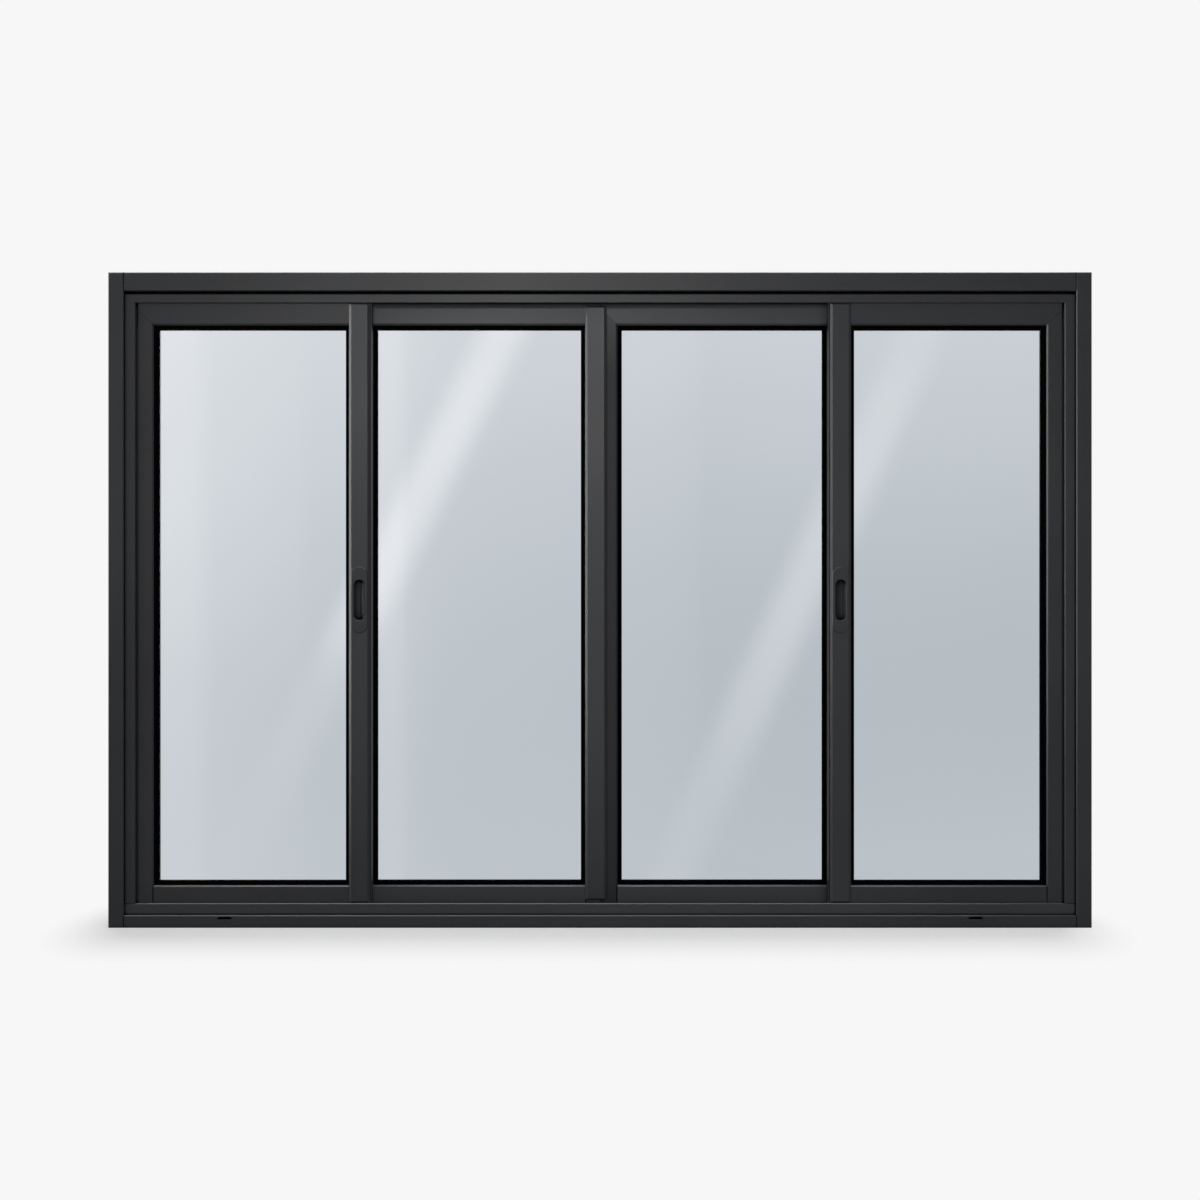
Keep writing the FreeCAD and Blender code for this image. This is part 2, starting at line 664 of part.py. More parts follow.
def meeting_cover(plan):
    """The proud cover on the meeting stile, which laps over the other sash."""
    y0 = sash_depths(plan)[0]
    front = y0 - MEETING_COVER_PROUD
    a = MEETING_X - MEETING_COVER_LEFT
    b = MEETING_X + MEETING_COVER_RIGHT
    cover = capped_profile(a, b, front, y0, COVER_BOTTOM_Z, COVER_TOP_Z)
    lap = box(plan["x1"], b, y0 - MEETING_COVER_GAP, y0, COVER_BOTTOM_Z, COVER_TOP_Z)
    wall = COVER_WALL
    hollow = box(a + wall, plan["x1"] - wall, front + wall, y0, COVER_BOTTOM_Z + wall, COVER_TOP_Z - wall)
    return cover.cut([lap, hollow])


def finger_pull(plan):
    """The recessed pull: a plate with a cup let into the cover."""
    y0 = sash_depths(plan)[0]
    cover_front = y0 - COVER_PROUD
    if plan["x0"] < 0:
        x = plan["x1"] - COVER_INSET - COVER_FACE / 2
    else:
        x = plan["x0"] + COVER_INSET + COVER_FACE / 2
    front = cover_front - PULL_PROUD
    plate = upright_obround(x, PULL_Z, PULL_WIDTH, PULL_HEIGHT, front, cover_front)
    rim = [
        edge for edge in plate.Edges
        if edge.BoundBox.YMax < front + SMALL
    ]
    plate = plate.makeChamfer(PULL_BEVEL, rim)
    wall = PULL_CUP_WALL
    cup_width = PULL_SLOT_WIDTH + 2 * wall
    cup_height = PULL_SLOT_HEIGHT + 2 * wall
    cup = upright_obround(x, PULL_Z, cup_width, cup_height, cover_front, y0)
    slot = upright_obround(x, PULL_Z, PULL_SLOT_WIDTH, PULL_SLOT_HEIGHT, front - CUT_PAST, y0 - wall)
    trough_y = y0 - wall - PULL_TROUGH_R
    foot = Vector(x, trough_y, PULL_Z - PULL_HEIGHT)
    trough = Part.makeCylinder(PULL_TROUGH_R, 2 * PULL_HEIGHT, foot, Vector(0, 0, 1))
    pull = fused([plate, cup]).cut(slot.common(trough))
    return pull.makeChamfer(PULL_SLOT_BEVEL, slot_rim(pull, x, front))


def slot_rim(pull, x, front):
    """The edges of the finger slot where it opens on the plate's face."""
    near = PULL_SLOT_WIDTH / 2 + SMALL
    return [
        edge for edge in pull.Edges
        if edge.BoundBox.YMax < front + SMALL
        and edge.BoundBox.XMin > x - near
        and edge.BoundBox.XMax < x + near
        and abs(edge.BoundBox.Center.z - PULL_Z) < PULL_SLOT_HEIGHT / 2 + SMALL
    ]


def pieces():
    """Every piece by its name."""
    left_jamb = frame_jamb()
    left_band = band_side()
    made = {
        "frame_jamb_left": left_jamb,
        "frame_jamb_right": mirrored(left_jamb),
        "frame_head": frame_head(),
        "frame_sill": frame_sill(),
        "band_left": left_band,
        "band_right": mirrored(left_band),
        "band_head": band_head(),
        "sill_band": sill_band(),
    }
    plans = sash_plans()
    for number, plan in enumerate(plans, 1):
        name = plan["name"]
        left_stile = stile(plan, True)
        right_stile = stile(plan, False)
        if number == 1:
            left_stile = fused([left_stile, closing_tongue(plan)])
            right_stile = fused([right_stile] + interlock_fins(plan, interlock_x(-1)))
        if number == 2:
            left_stile = fused([left_stile] + interlock_fins(plan, interlock_x(-1)))
        if number == 3:
            right_stile = fused([right_stile] + interlock_fins(plan, interlock_x(1)))
        if number == 4:
            left_stile = fused([left_stile] + interlock_fins(plan, interlock_x(1)))
            right_stile = fused([right_stile, closing_tongue(plan)])
        made[name + "_left_stile"] = left_stile
        made[name + "_right_stile"] = right_stile
        made[name + "_top_rail"] = top_rail(plan)
        made[name + "_bottom_rail"] = bottom_rail(plan)
        made[name + "_gasket"] = gasket(plan)
        made[name + "_glass"] = glass(plan)
        made[name + "_rollers"] = rollers(plan)
    made["interlock_cover_left"] = interlock_cover(plans[0])
    made["interlock_cover_right"] = interlock_cover(plans[3])
    made["meeting_cover"] = meeting_cover(plans[1])
    made["finger_pull_left"] = finger_pull(plans[0])
    made["finger_pull_right"] = finger_pull(plans[3])
    return made


def main():
    os.makedirs("parts", exist_ok=True)
    for name, shape in pieces().items():
        shape.exportStep("parts/" + name + ".step")


main()
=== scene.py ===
import math
import bpy
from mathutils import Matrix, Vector


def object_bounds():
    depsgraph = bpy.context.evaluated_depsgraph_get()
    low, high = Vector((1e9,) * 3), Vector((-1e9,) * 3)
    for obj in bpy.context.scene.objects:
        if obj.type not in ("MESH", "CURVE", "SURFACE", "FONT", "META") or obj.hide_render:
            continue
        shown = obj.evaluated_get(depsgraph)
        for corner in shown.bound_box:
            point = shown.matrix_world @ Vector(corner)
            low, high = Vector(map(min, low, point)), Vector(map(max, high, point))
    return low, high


# Horizontal sliding window: the finish of every piece, and the studio round it. Metres.

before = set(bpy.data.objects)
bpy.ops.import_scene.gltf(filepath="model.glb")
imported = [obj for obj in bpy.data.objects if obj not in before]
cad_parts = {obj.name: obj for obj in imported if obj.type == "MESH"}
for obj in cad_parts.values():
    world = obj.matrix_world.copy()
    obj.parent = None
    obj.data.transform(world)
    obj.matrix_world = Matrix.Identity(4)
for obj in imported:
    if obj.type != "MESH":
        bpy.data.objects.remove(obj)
cad_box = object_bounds()

# Camera, square on to the window's middle
CAMERA_DISTANCE = 3.45
CAMERA_Z = 0.6
VIEW_WIDTH = 2.1955
SENSOR = 36.0

# Noises, each a scale and a detail, and the span that nearly all of a noise lies in
COAT_DRIFT = (3.5, 3.0)
COAT_SPECKLE = (2600.0, 1.0)
COAT_PEEL = (620.0, 2.0)
RUBBER_GRAIN = (900.0, 2.0)
NYLON_GRAIN = (700.0, 3.0)
GLASS_WAVE = (1.6, 1.0)
NOISE_LOW = 0.3
NOISE_HIGH = 0.7

# Powder coat: tones are places on the ramp and shares of the colour
COAT_GREY = (0.0178, 0.0187, 0.0205)
COAT_TONES = ((0.35, 0.9), (0.95, 1.12))
COAT_SPECKLE_SHARE = 0.35
COAT_ROUGHNESS = 0.36
COAT_SMOOTHER = 0.03
COAT_ROUGHER = 0.04
COAT_SPECULAR = 0.25
COAT_BUMP = (0.12, 0.0002)

# Painted shade in crevices, which darkens the coat's colour and gloss in narrow gaps: how far the gap
# is looked for, and the open shares where it is dark and clear
CREVICE_SHADE = (0.007, 0.45, 0.85)
RAIL_CREVICE_SHADE = (0.004, 0.20, 0.60)
PULL_CREVICE_SHADE = (0.02, 0.68, 1.0)
CREVICE_SHADE_BLACK = (0.001, 0.001, 0.001, 1)
CREVICE_SHADE_SAMPLES = 8

# Coats of single pieces: how much lighter, darker or glossier than the plain coat. The lighter and
# darker ones are painted light and painted shade on pieces of the same paint
# Painted light: the rear sashes' rails and the sill band are lightened copies of the plain coat
REAR_RAIL_PAINTED_LIGHT = 1.35
SILL_BAND_PAINTED_LIGHT = 1.3
COVER_ROUGHNESS = 0.33
COVER_SPECULAR = 0.28
PULL_SPECULAR = 0.2
# Painted shadow of the meeting cover on sash 3's left stile: a darker, less glossy coat whose gloss
# rises to the plain coat's between two heights
SHADED_TONE = 0.85
SHADED_SPECULAR = 0.10
SHADED_HEIGHTS = (1.02, 1.14)

# Gasket rubber and roller nylon: darkest and lightest colour, smoothest and roughest
RUBBER_COLOURS = ((0.0004, 0.0004, 0.0004), (0.0009, 0.0009, 0.001))
RUBBER_ROUGHNESS = (0.62, 0.78)
RUBBER_SPECULAR = 0.01
RUBBER_BUMP = (0.2, 0.0002)
NYLON_COLOURS = ((0.012, 0.012, 0.012), (0.02, 0.02, 0.021))
NYLON_ROUGHNESS = (0.4, 0.55)

# Each face of a pane passes the tint, so the pane passes its square
GLASS_FACE_TINT = (0.767, 0.804, 0.836)
GLASS_DARKER = 0.992
GLASS_LIGHTER = 1.008
GLASS_IOR = 1.5
GLASS_TWO_FACES = 3.5

# Fine chamfers by the start of a piece's name, and the pieces that get none
BEVELS = {"band_": 0.0008, "sash_": 0.0004}
BEVEL_ANGLE = 30
WELD_REACH = 0.00002
NOT_BEVELLED = ("_glass", "_rollers", "_gasket")

# Backdrop and floor
WHITE = (1, 1, 1, 1)
BACKDROP_WHITE = 0.93
WORLD_LIGHT = 0.34
FLOOR_COLOUR = (0.88, 0.88, 0.88, 1)
FLOOR_SIZE = 60.0
FLOOR_FADE_START = 0.12
FLOOR_FADE_END = 0.40
FLOOR_FADE_SIDEWAYS = 2.1
FLOOR_FADE_POWER = 1.6
FLOOR_LIFT = 0.45
FLOOR_SHADOW_X = -0.022
FLOOR_SHADOW_INSET = 0.092

# Kinds of rays: those that see the backdrop's white, and those that clear glass mirrors
WHITE_RAYS = ("Is Camera Ray", "Is Glossy Ray", "Is Transmission Ray")
MIRROR_RAYS = ("Is Singular Ray",)

# Dark cards in front, at the right and on the floor, which only gloss sees
FLAG_DISTANCE = 0.45
FLAG_HALF_WIDTH = 2.2
FLAG_RIGHT = 1.5
FLAG_BEHIND = 0.6
FLAG_FORWARD = 2.5
FLAG_LIFT = 0.002
FLAG_TOP = 3.0
FLAG_SPREAD = 1 + FLAG_DISTANCE / CAMERA_DISTANCE
FLAG_LOW = 0.15
FLAG_TINT = (1.0, 0.93, 0.9, 1)

# What the glass mirrors of the front card: brightness by height and across on the window
GLOW_BY_HEIGHT = [
    (0.14, 0.20), (0.30, 0.05), (0.45, 0.02), (0.60, 0.10), (0.75, 0.32), (0.91, 0.70), (1.06, 1.00),
    (1.25, 1.25),
]
GLOW_ACROSS = [
    (-0.95, 0.0), (-0.86, 0.6), (-0.80, 1.5), (-0.71, 1.0), (-0.64, 0.85), (-0.57, 0.7), (-0.50, 0.5),
    (-0.44, 0.6), (-0.405, 1.15), (-0.36, 0.7), (-0.32, 0.5), (-0.28, 0.4), (-0.20, 0.32),
    (-0.10, 0.28), (0.12, 0.2), (0.20, 0.0),
]
ACROSS_BY_HEIGHT = [
    (0.14, 0.55), (0.30, 0.73), (0.45, 0.88), (0.60, 1.06), (0.75, 1.12), (0.91, 1.0), (1.06, 0.95),
]

# Slanted bars in the glass: the middle line's upper and lower end, and brightness by height
BAR_HALF_WIDTH = 0.085
BARS = [
    ((-0.207, 1.058), (-0.659, 0.142),
     [(0.14, 0.05), (0.30, 0.2), (0.45, 0.45), (0.60, 1.2), (0.75, 1.3), (0.91, 1.4), (1.06, 1.15)]),
    ((0.577, 1.058), (0.165, 0.142),
     [(0.14, 0.25), (0.30, 0.5), (0.45, 0.85), (0.60, 1.0), (0.75, 1.0), (0.91, 0.8), (1.06, 0.4)]),
]

# Soft highlights on the coat: place on the window, size of the lamp and brightness
HIGHLIGHTS = {
    "upper_highlight": ((-0.18, 1.07), (1.1, 0.25), 28.5),
    "lower_highlight": ((-0.10, 0.42), (1.4, 0.45), 2.5),
}

# Other lamps: place, aim, size, brightness and what doesn't see them
LAMPS = {
    "front_fill": ((0.6, -3.2, 0.9), (0.2, 0, 0.6), (2.4, 1.2), 8.8, {"in_gloss": False}),
    "top_light": ((-0.3, -0.1, 2.6), (-0.3, -0.05, 0), (3.0, 0.9), 15.0, {"in_diffuse": False}),
    "left_light": ((-2.3, -1.0, 1.3), (0, -0.05, 0.7), (0.8, 2.4), 9.5,
                   {"in_diffuse": False, "in_mirror": False}),
    "side_light": ((-2.3, -0.2, 1.3), (0, -0.05, 0.7), (0.4, 2.4), 14.0, {"in_diffuse": False}),
}

# Where a new stop or knot starts, before it is placed
NEW_POINT = 0.5


def new_material(name):
    """An empty material with its nodes, its links and its output."""
    mat = bpy.data.materials.new(name)
    mat.use_nodes = True
    nodes = mat.node_tree.nodes
    nodes.clear()
    out = nodes.new("ShaderNodeOutputMaterial")
    return mat, nodes, mat.node_tree.links, out


def object_coords(nodes):
    return nodes.new("ShaderNodeTexCoord").outputs["Object"]


def add_split(nodes, links, coords):
    """The X, Y and Z of a place."""
    split = nodes.new("ShaderNodeSeparateXYZ")
    links.new(coords, split.inputs["Vector"])
    return split.outputs


def add_noise(nodes, links, coords, scale, detail):
    noise = nodes.new("ShaderNodeTexNoise")
    noise.inputs["Scale"].default_value = scale
    noise.inputs["Detail"].default_value = detail
    links.new(coords, noise.inputs["Vector"])
    return noise.outputs["Fac"]


def add_range(nodes, links, value, low, high, from_min=NOISE_LOW, from_max=NOISE_HIGH, steps="LINEAR"):
    """The value's span from from_min to from_max, stretched from low to high."""
    ranged = nodes.new("ShaderNodeMapRange")
    ranged.interpolation_type = steps
    ranged.inputs["From Min"].default_value = from_min
    ranged.inputs["From Max"].default_value = from_max
    ranged.inputs["To Min"].default_value = low
    ranged.inputs["To Max"].default_value = high
    links.new(value, ranged.inputs["Value"])
    return ranged.outputs["Result"]


def add_math(nodes, links, operation, *values):
    """A maths node on its values, each a socket or a number."""
    node = nodes.new("ShaderNodeMath")
    node.operation = operation
    for socket, value in zip(node.inputs, values):
        if isinstance(value, (int, float)):
            socket.default_value = value
        else:
            links.new(value, socket)
    return node.outputs[0]


def add_ramp(nodes, links, value, stops):
    """A colour ramp from (position, colour) stops."""
    ramp = nodes.new("ShaderNodeValToRGB")
    elements = ramp.color_ramp.elements
    while len(elements) < len(stops):
        elements.new(NEW_POINT)
    for element, (place, colour) in zip(elements, stops):
        element.position = place
        element.color = (*colour, 1.0)
    links.new(value, ramp.inputs["Fac"])
    return ramp.outputs["Color"]


def add_noise_ramp(nodes, links, noise, low, high):
    """One colour where the noise is low, running to another where it is high."""
    return add_ramp(nodes, links, noise, [(NOISE_LOW, low), (NOISE_HIGH, high)])


def add_curve(nodes, links, value, points):
    """A smooth curve through (value, result) points."""
    low, high = points[0][0], points[-1][0]
    curve = nodes.new("ShaderNodeFloatCurve")
    unit = add_range(nodes, links, value, 0.0, 1.0, low, high)
    links.new(unit, curve.inputs["Value"])
    knots = curve.mapping.curves[0].points
    top = max(result for _, result in points)
    while len(knots) < len(points):
        knots.new(NEW_POINT, NEW_POINT)
    for knot, (place, result) in zip(knots, points):
        knot.location = ((place - low) / (high - low), result / top)
    curve.mapping.update()
    return add_math(nodes, links, "MULTIPLY", curve.outputs[0], top)


def add_bump(nodes, links, height, strength, distance):
    bump = nodes.new("ShaderNodeBump")
    bump.inputs["Strength"].default_value = strength
    bump.inputs["Distance"].default_value = distance
    links.new(height, bump.inputs["Height"])
    return bump.outputs["Normal"]


def add_white(nodes, kind, strength):
    """An even white emission or background."""
    white = nodes.new(kind)
    white.inputs["Color"].default_value = WHITE
    white.inputs["Strength"].default_value = strength
    return white.outputs[0]


def mix_shaders(nodes, links, share, first, second):
    """The first shader where the share is 0, and the second where it is 1."""
    mix = nodes.new("ShaderNodeMixShader")
    links.new(share, mix.inputs["Fac"])
    links.new(first, mix.inputs[1])
    links.new(second, mix.inputs[2])
    return mix.outputs["Shader"]


def light_path_any(nodes, links, names):
    """1 for rays of any of the named kinds."""
    path = nodes.new("ShaderNodeLightPath")
    total = path.outputs[names[0]]
    for name in names[1:]:
        total = add_math(nodes, links, "MAXIMUM", total, path.outputs[name])
    return total


def scaled(colour, factor):
    return tuple(c * factor for c in colour)


def painted_crevice_shade(nodes, links, reach, low, high):
    """Painted shade: 1 on open faces, falling to 0 deep in narrow gaps."""
    shade = nodes.new("ShaderNodeAmbientOcclusion")
    shade.samples = CREVICE_SHADE_SAMPLES
    shade.inputs["Distance"].default_value = reach
    return add_range(nodes, links, shade.outputs["AO"], 0.0, 1.0, low, high)


def powder_coat(name, colour, roughness=COAT_ROUGHNESS, specular=COAT_SPECULAR, shade_in_gaps=CREVICE_SHADE,
                heights=None):
    """Satin powder coat: a fine orange-peel surface with faint drifts in tone and gloss, and painted
    shade that darkens its colour and gloss in crevices.

    Between the two heights, if given, its gloss rises to that of the plain coat, so that painted shade
    below them fades out upward.
    """
    mat, nodes, links, out = new_material(name)
    coords = object_coords(nodes)
    drift = add_noise(nodes, links, coords, *COAT_DRIFT)
    speckle = add_noise(nodes, links, coords, *COAT_SPECKLE)
    peel = add_noise(nodes, links, coords, *COAT_PEEL)
    tone = add_math(nodes, links, "MULTIPLY_ADD", speckle, COAT_SPECKLE_SHARE, drift)
    stops = [(place, scaled(colour, share)) for place, share in COAT_TONES]
    # Painted shade: in crevices the colour runs to black and the gloss to none
    painted_shade_mask = painted_crevice_shade(nodes, links, *shade_in_gaps)
    shaded = nodes.new("ShaderNodeMix")
    shaded.data_type = "RGBA"
    links.new(painted_shade_mask, shaded.inputs["Factor"])
    shaded.inputs["A"].default_value = CREVICE_SHADE_BLACK
    links.new(add_ramp(nodes, links, tone, stops), shaded.inputs["B"])
    gloss = add_range(nodes, links, drift, roughness - COAT_SMOOTHER, roughness + COAT_ROUGHER)
    sheen = add_range(nodes, links, painted_shade_mask, 0.0, specular, 0.0, 1.0)
    # Painted shade below the heights: lower gloss, rising to the plain coat's
    if heights:
        height = add_split(nodes, links, coords)["Z"]
        rise = add_range(nodes, links, height, 1.0, COAT_SPECULAR / specular, *heights)
        sheen = add_math(nodes, links, "MULTIPLY", sheen, rise)
    shader = nodes.new("ShaderNodeBsdfPrincipled")
    links.new(shaded.outputs["Result"], shader.inputs["Base Color"])
    links.new(gloss, shader.inputs["Roughness"])
    links.new(sheen, shader.inputs["Specular IOR Level"])
    links.new(add_bump(nodes, links, peel, *COAT_BUMP), shader.inputs["Normal"])
    links.new(shader.outputs["BSDF"], out.inputs["Surface"])
    return mat


def glazing_rubber():
    """Matt black rubber with a faint drawn grain."""
    mat, nodes, links, out = new_material("gasket_rubber")
    grain = add_noise(nodes, links, object_coords(nodes), *RUBBER_GRAIN)
    shader = nodes.new("ShaderNodeBsdfPrincipled")
    links.new(add_noise_ramp(nodes, links, grain, *RUBBER_COLOURS), shader.inputs["Base Color"])
    links.new(add_range(nodes, links, grain, *RUBBER_ROUGHNESS), shader.inputs["Roughness"])
    shader.inputs["Specular IOR Level"].default_value = RUBBER_SPECULAR
    links.new(add_bump(nodes, links, grain, *RUBBER_BUMP), shader.inputs["Normal"])
    links.new(shader.outputs["BSDF"], out.inputs["Surface"])
    return mat


def roller_nylon():
    """Black nylon with a dull sheen."""
    mat, nodes, links, out = new_material("roller_nylon")
    grain = add_noise(nodes, links, object_coords(nodes), *NYLON_GRAIN)
    shader = nodes.new("ShaderNodeBsdfPrincipled")
    links.new(add_noise_ramp(nodes, links, grain, *NYLON_COLOURS), shader.inputs["Base Color"])
    links.new(add_range(nodes, links, grain, *NYLON_ROUGHNESS), shader.inputs["Roughness"])
    links.new(shader.outputs["BSDF"], out.inputs["Surface"])
    return mat


def window_glass():
    """Clear glass with a cool tint. It mirrors on its outer faces only, for both faces at once."""
    mat, nodes, links, out = new_material("pane_glass")
    wave = add_noise(nodes, links, object_coords(nodes), *GLASS_WAVE)
    low = scaled(GLASS_FACE_TINT, GLASS_DARKER)
    high = scaled(GLASS_FACE_TINT, GLASS_LIGHTER)
    clear = nodes.new("ShaderNodeBsdfTransparent")
    links.new(add_noise_ramp(nodes, links, wave, low, high), clear.inputs["Color"])
    mirror = nodes.new("ShaderNodeBsdfGlossy")
    mirror.inputs["Roughness"].default_value = 0.0
    fresnel = nodes.new("ShaderNodeFresnel")
    fresnel.inputs["IOR"].default_value = GLASS_IOR
    backfacing = nodes.new("ShaderNodeNewGeometry").outputs["Backfacing"]
    outward = add_math(nodes, links, "SUBTRACT", 1.0, backfacing)
    once = add_math(nodes, links, "MULTIPLY", fresnel.outputs["Fac"], outward)
    twice = add_math(nodes, links, "MULTIPLY", once, GLASS_TWO_FACES)
    twice.node.use_clamp = True
    pane = mix_shaders(nodes, links, twice, clear.outputs["BSDF"], mirror.outputs["BSDF"])
    links.new(pane, out.inputs["Surface"])
    return mat


def dress(obj, mat):
    obj.data.materials.clear()
    obj.data.materials.append(mat)


def dress_nodes():
    frame_coat = powder_coat("frame_coat", COAT_GREY)
    sash_coat = powder_coat("sash_coat", COAT_GREY)
    # Painted light: lighter copies of the plain coat for the rear rails and the sill band
    rear_rail_coat = powder_coat("rear_rail_coat", scaled(COAT_GREY, REAR_RAIL_PAINTED_LIGHT),
                                 shade_in_gaps=RAIL_CREVICE_SHADE)
    rail_coat = powder_coat("rail_coat", COAT_GREY, shade_in_gaps=RAIL_CREVICE_SHADE)
    band_coat = powder_coat("sill_band_coat", scaled(COAT_GREY, SILL_BAND_PAINTED_LIGHT))
    cover_coat = powder_coat("cover_coat", COAT_GREY, COVER_ROUGHNESS, COVER_SPECULAR, RAIL_CREVICE_SHADE)
    # Painted shadow of the meeting cover, for sash 3's left stile
    shaded_coat = powder_coat("shaded_coat", scaled(COAT_GREY, SHADED_TONE),
                              specular=SHADED_SPECULAR, heights=SHADED_HEIGHTS)
    pull_coat = powder_coat("pull_coat", COAT_GREY, specular=PULL_SPECULAR, shade_in_gaps=PULL_CREVICE_SHADE)
    rubber = glazing_rubber()
    nylon = roller_nylon()
    glass = window_glass()
    for name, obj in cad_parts.items():
        if name.endswith("_glass"):
            dress(obj, glass)
        elif name.endswith("_gasket"):
            dress(obj, rubber)
        elif name.endswith("_rollers"):
            dress(obj, nylon)
        elif name.startswith("finger_pull"):
            dress(obj, pull_coat)
        elif "_cover" in name:
            dress(obj, cover_coat)
        elif name.startswith(("sash_2", "sash_3")) and name.endswith("_rail"):
            dress(obj, rear_rail_coat)
        elif name.startswith(("sash_1", "sash_4")) and name.endswith("_rail"):
            dress(obj, rail_coat)
        elif name == "sill_band":
            dress(obj, band_coat)
        # Painted shadow of the meeting cover
        elif name == "sash_3_left_stile":
            dress(obj, shaded_coat)
        elif name.startswith(("frame_", "band_")):
            dress(obj, frame_coat)
        else:
            dress(obj, sash_coat)


def soften_edges(obj, width):
    """Breaks the piece's edges by a small chamfer, which shows its joints as fine lines."""
    weld = obj.modifiers.new("weld", "WELD")
    weld.merge_threshold = WELD_REACH
    bevel = obj.modifiers.new("soft_edges", "BEVEL")
    bevel.width = width
    bevel.segments = 1
    bevel.limit_method = "ANGLE"
    bevel.angle_limit = math.radians(BEVEL_ANGLE)
    bevel.use_clamp_overlap = True
    bevel.harden_normals = False
    for polygon in obj.data.polygons:
        polygon.use_smooth = False


def soften_joints():
    for name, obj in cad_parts.items():
        for start, width in BEVELS.items():
            if name.startswith(start) and not name.endswith(NOT_BEVELLED):
                soften_edges(obj, width)


def make_camera():
    data = bpy.data.cameras.new("camera")
    camera = bpy.data.objects.new("camera", data)
    bpy.context.scene.collection.objects.link(camera)
    front = cad_box[0][1]
    camera.location = (0.0, front - CAMERA_DISTANCE, CAMERA_Z)
    camera.rotation_euler = (math.radians(90), 0, 0)
    data.sensor_width = SENSOR
    data.lens = SENSOR * CAMERA_DISTANCE / VIEW_WIDTH
    bpy.context.scene.camera = camera


def floor_fade(nodes, links):
    """How far the floor is lifted to white: fully away from the window, and in part close by."""
    axes = add_split(nodes, links, object_coords(nodes))
    half_width = cad_box[1][0]
    from_middle = add_math(nodes, links, "SUBTRACT", axes["X"], FLOOR_SHADOW_X)
    sideways = add_math(nodes, links, "ABSOLUTE", from_middle)
    beyond = add_math(nodes, links, "SUBTRACT", sideways, half_width - FLOOR_SHADOW_INSET)
    past_end = add_math(nodes, links, "MAXIMUM", beyond, 0.0)
    past_end = add_math(nodes, links, "MULTIPLY", past_end, FLOOR_FADE_SIDEWAYS)
    reach = nodes.new("ShaderNodeCombineXYZ")
    links.new(past_end, reach.inputs["X"])
    links.new(axes["Y"], reach.inputs["Y"])
    length = nodes.new("ShaderNodeVectorMath")
    length.operation = "LENGTH"
    links.new(reach.outputs["Vector"], length.inputs[0])
    near = add_range(nodes, links, length.outputs["Value"], 1.0, 0.0, FLOOR_FADE_START, FLOOR_FADE_END)
    near = add_math(nodes, links, "POWER", near, FLOOR_FADE_POWER)
    return add_range(nodes, links, near, 1.0, FLOOR_LIFT, 0.0, 1.0)


def make_floor():
    """A pale floor that keeps the window's soft shadow and fades into the backdrop's white."""
    bpy.ops.mesh.primitive_plane_add(size=FLOOR_SIZE, location=(0, 0, 0))
    floor = bpy.context.object
    floor.name = "studio_floor"
    mat, nodes, links, out = new_material("studio_floor")
    diffuse = nodes.new("ShaderNodeBsdfDiffuse")
    diffuse.inputs["Color"].default_value = FLOOR_COLOUR
    white = add_white(nodes, "ShaderNodeEmission", BACKDROP_WHITE)
    white_seen = light_path_any(nodes, links, WHITE_RAYS)
    lifted = add_math(nodes, links, "MULTIPLY", white_seen, floor_fade(nodes, links))
    mixed = mix_shaders(nodes, links, lifted, diffuse.outputs["BSDF"], white)
    links.new(mixed, out.inputs["Surface"])
    dress(floor, mat)


def make_world():
    """An even pale light. The camera, gloss and glass see the backdrop's white."""
    world = bpy.data.worlds.new("studio")
    bpy.context.scene.world = world
    world.use_nodes = True
    nodes = world.node_tree.nodes
    links = world.node_tree.links
    nodes.clear()
    out = nodes.new("ShaderNodeOutputWorld")
    light = add_white(nodes, "ShaderNodeBackground", WORLD_LIGHT)
    white = add_white(nodes, "ShaderNodeBackground", BACKDROP_WHITE)
    white_seen = light_path_any(nodes, links, WHITE_RAYS)
    links.new(mix_shaders(nodes, links, white_seen, light, white), out.inputs["Surface"])


def in_flag(x, z):
    """Where on the front flag the camera sees mirrored what lies at x and z on the window."""
    return x * FLAG_SPREAD, CAMERA_Z + (z - CAMERA_Z) * FLAG_SPREAD


def heights_in_flag(points):
    """Points by height on the window, moved to their heights on the front flag."""
    return [(in_flag(0, height)[1], glow) for height, glow in points]


def bar_glow(nodes, links, x, z, upper, lower, strengths):
    """A slanted bar: brightest along its middle line, soft to both sides."""
    (x0, z0), (x1, z1) = in_flag(*upper), in_flag(*lower)
    lean = (x1 - x0) / (z1 - z0)
    middle = add_math(nodes, links, "MULTIPLY_ADD", z, lean, x0 - lean * z0)
    off = add_math(nodes, links, "SUBTRACT", x, middle)
    off = add_math(nodes, links, "ABSOLUTE", off)
    soft = add_range(nodes, links, off, 1.0, 0.0, 0.0, BAR_HALF_WIDTH * FLAG_SPREAD, "SMOOTHERSTEP")
    along = add_curve(nodes, links, z, heights_in_flag(strengths))
    return add_math(nodes, links, "MULTIPLY", soft, along)


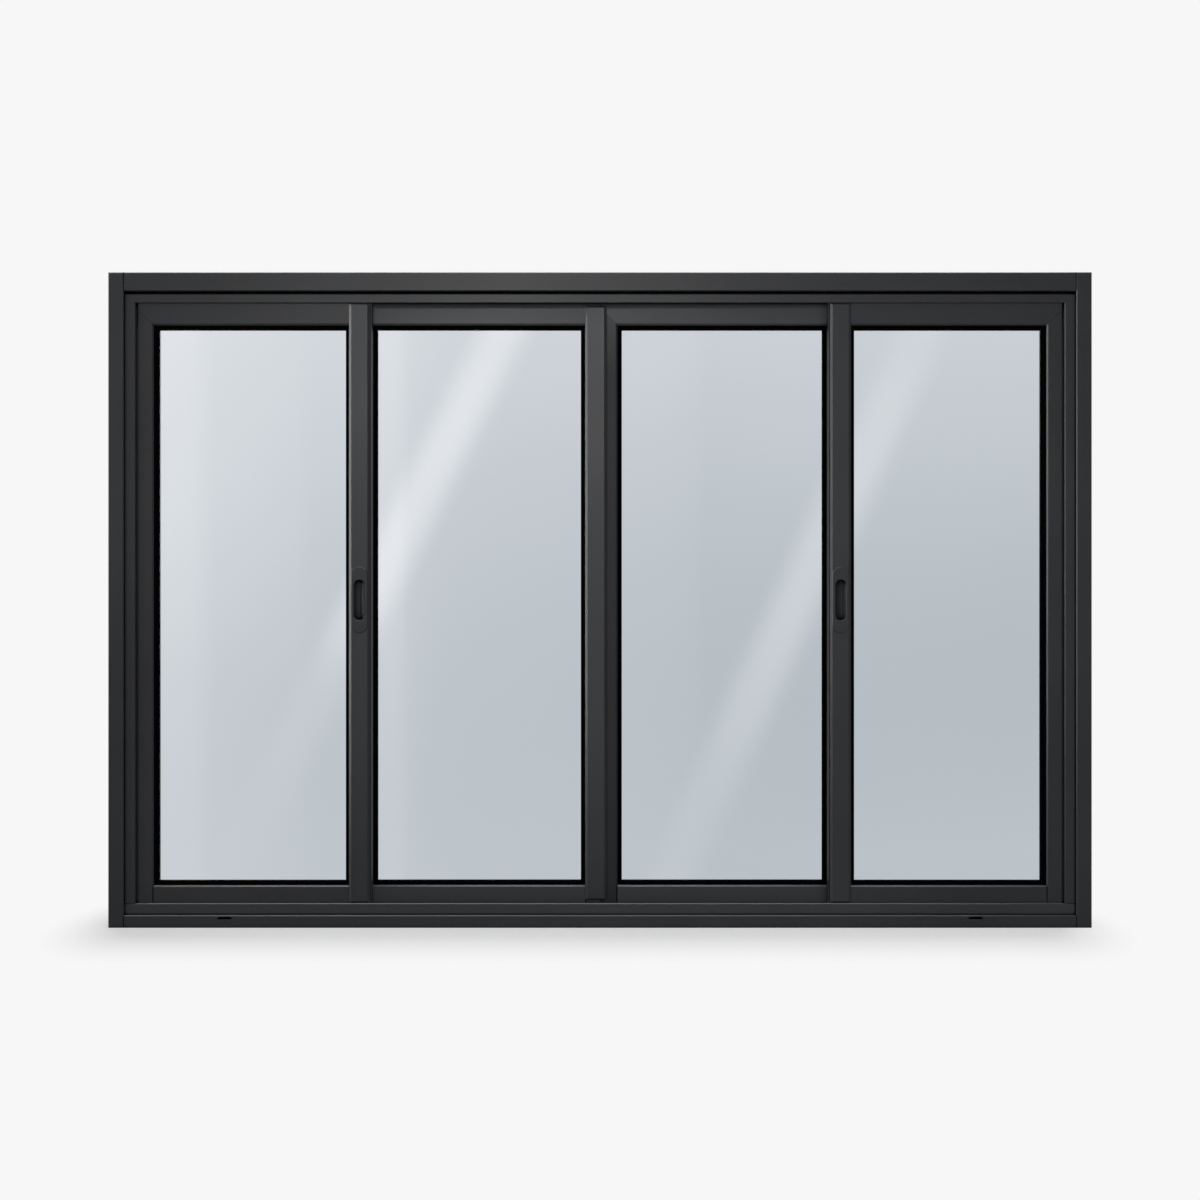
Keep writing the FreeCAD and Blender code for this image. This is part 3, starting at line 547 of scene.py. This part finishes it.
def flag_material():
    """The front flag's glow, for clear glass: by height, across, and the two slanted bars."""
    mat, nodes, links, out = new_material("studio_flag_front")
    axes = add_split(nodes, links, object_coords(nodes))
    x, z = axes["X"], axes["Z"]
    across = add_curve(nodes, links, x, [(in_flag(place, 0)[0], glow) for place, glow in GLOW_ACROSS])
    fade = add_curve(nodes, links, z, heights_in_flag(ACROSS_BY_HEIGHT))
    side_glow = add_math(nodes, links, "MULTIPLY", across, fade)
    by_height = add_curve(nodes, links, z, heights_in_flag(GLOW_BY_HEIGHT))
    total = add_math(nodes, links, "ADD", by_height, side_glow)
    for upper, lower, strengths in BARS:
        bar = bar_glow(nodes, links, x, z, upper, lower, strengths)
        total = add_math(nodes, links, "ADD", total, bar)
    seen = nodes.new("ShaderNodeMix")
    links.new(light_path_any(nodes, links, MIRROR_RAYS), seen.inputs["Factor"])
    seen.inputs["A"].default_value = FLAG_LOW
    links.new(total, seen.inputs["B"])
    emit = nodes.new("ShaderNodeEmission")
    emit.inputs["Color"].default_value = FLAG_TINT
    links.new(seen.outputs["Result"], emit.inputs["Strength"])
    links.new(emit.outputs["Emission"], out.inputs["Surface"])
    return mat


def plain_flag_material():
    """A dark card for the coats' gloss, which the glass doesn't mirror."""
    mat, nodes, links, out = new_material("studio_flag")
    dark = add_white(nodes, "ShaderNodeEmission", FLAG_LOW)
    clear = nodes.new("ShaderNodeBsdfTransparent").outputs["BSDF"]
    mirrored = light_path_any(nodes, links, MIRROR_RAYS)
    links.new(mix_shaders(nodes, links, mirrored, dark, clear), out.inputs["Surface"])
    return mat


def add_flag(name, corners, mat):
    """A flat card through four corners, which only gloss sees."""
    mesh = bpy.data.meshes.new(name)
    mesh.from_pydata(corners, [], [(0, 1, 2, 3)])
    flag = bpy.data.objects.new(name, mesh)
    bpy.context.scene.collection.objects.link(flag)
    dress(flag, mat)
    flag.visible_camera = False
    flag.visible_diffuse = False
    flag.visible_shadow = False
    flag.visible_transmission = False


def add_upright_flag(name, start, end, mat):
    """A card that stands on the floor from one place to another."""
    add_flag(name, [(*start, 0), (*end, 0), (*end, FLAG_TOP), (*start, FLAG_TOP)], mat)


def make_flags():
    near = cad_box[0][1] - FLAG_DISTANCE
    half = FLAG_HALF_WIDTH
    back = FLAG_BEHIND
    fore = -FLAG_FORWARD
    plain = plain_flag_material()
    add_upright_flag("studio_flag_front", (-half, near), (half, near), flag_material())
    add_upright_flag("studio_flag_right", (FLAG_RIGHT, near), (FLAG_RIGHT, back), plain)
    outline = [(-half, fore), (half, fore), (half, back), (-half, back)]
    add_flag("studio_flag_floor", [(x, y, FLAG_LIFT) for x, y in outline], plain)


def add_area(name, place, target, size, glow, in_gloss=True, in_diffuse=True, in_mirror=True):
    """A soft rectangular lamp of the given brightness, which clear glass can be kept from mirroring."""
    width, height = size
    data = bpy.data.lights.new(name, "AREA")
    data.shape = "RECTANGLE"
    data.size = width
    data.size_y = height
    data.energy = glow * math.pi * width * height
    light = bpy.data.objects.new(name, data)
    bpy.context.scene.collection.objects.link(light)
    light.location = place
    aim = Vector(target) - Vector(place)
    light.rotation_euler = aim.to_track_quat("-Z", "Y").to_euler()
    light.visible_camera = False
    light.visible_glossy = in_gloss
    data.cycles.use_multiple_importance_sampling = in_mirror
    light.visible_diffuse = in_diffuse


def add_highlights():
    """Each lamp stands as far off as the camera, mirrored about the place where it shows."""
    y = cad_box[0][1] - CAMERA_DISTANCE
    for name, ((x, z), size, glow) in HIGHLIGHTS.items():
        place = (2 * x, y, 2 * z - CAMERA_Z)
        add_area(name, place, (x, 0, z), size, glow, in_diffuse=False, in_mirror=False)


def add_lamps():
    for name, (place, target, size, glow, limits) in LAMPS.items():
        add_area(name, place, target, size, glow, **limits)


dress_nodes()
soften_joints()
make_camera()
make_floor()
make_world()
make_flags()
add_highlights()
add_lamps()

bpy.context.scene.view_settings.view_transform = "Standard"
